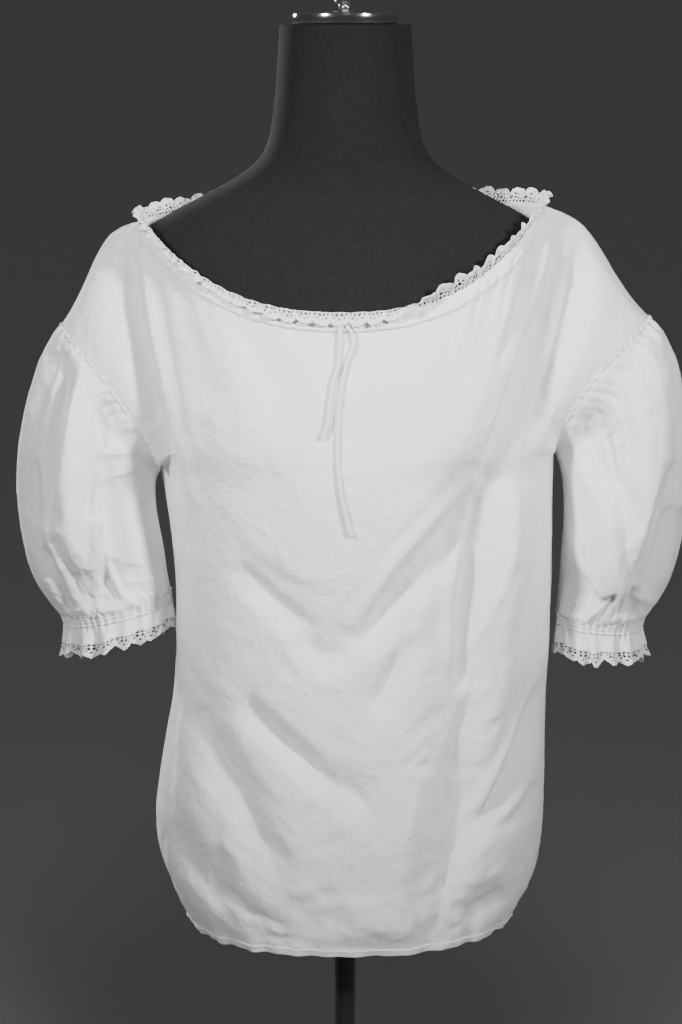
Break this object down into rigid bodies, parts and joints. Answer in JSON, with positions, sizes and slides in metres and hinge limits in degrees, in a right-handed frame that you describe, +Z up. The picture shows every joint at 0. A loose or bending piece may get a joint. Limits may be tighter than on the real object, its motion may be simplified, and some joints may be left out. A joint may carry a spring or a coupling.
{
  "type": "blouse on a dress form",
  "caption": "White cotton puff-sleeve peasant blouse with a scooped drawstring neck and crochet edging, on a black limbless dress form with a pole and round base.",
  "frame": {"origin": "Centre of the round base's underside, on the floor and on the axis of the form's pole.", "axes": "+Z up along the pole, -Y the way the blouse's front faces, +X toward the wearer's left."},
  "size_m": [0.6318, 0.32, 1.6],
  "materials": {
    "cotton": "matt plain-weave cotton, washed and lightly creased",
    "crochet_lace": "matt crocheted cotton thread",
    "cotton_tape": "matt twisted cotton cord",
    "form_cover": "smooth black jersey cover",
    "form_chrome": "polished",
    "stand_steel": "satin black"
  },
  "bodies": {
    "root": {"front": "cotton", "back": "cotton", "neck_casing_front": "cotton", "neck_casing_back": "cotton", "hem_front": "cotton", "hem_back": "cotton", "sleeve_left": "cotton", "sleeve_right": "cotton", "cuff_casing_left": "cotton", "cuff_casing_right": "cotton", "cuff_frill_left": "cotton", "cuff_frill_right": "cotton", "neck_lace_front": "crochet_lace", "neck_lace_back": "crochet_lace", "cuff_lace_left_front": "crochet_lace", "cuff_lace_left_back": "crochet_lace", "cuff_lace_right_front": "crochet_lace", "cuff_lace_right_back": "crochet_lace", "drawstring_long": "cotton_tape", "drawstring_short": "cotton_tape", "form_torso": "form_cover", "form_neck_cap": "form_chrome", "form_cap_knob": "form_chrome", "form_pole": "stand_steel", "form_base": "stand_steel"}
  },
  "joints": []
}
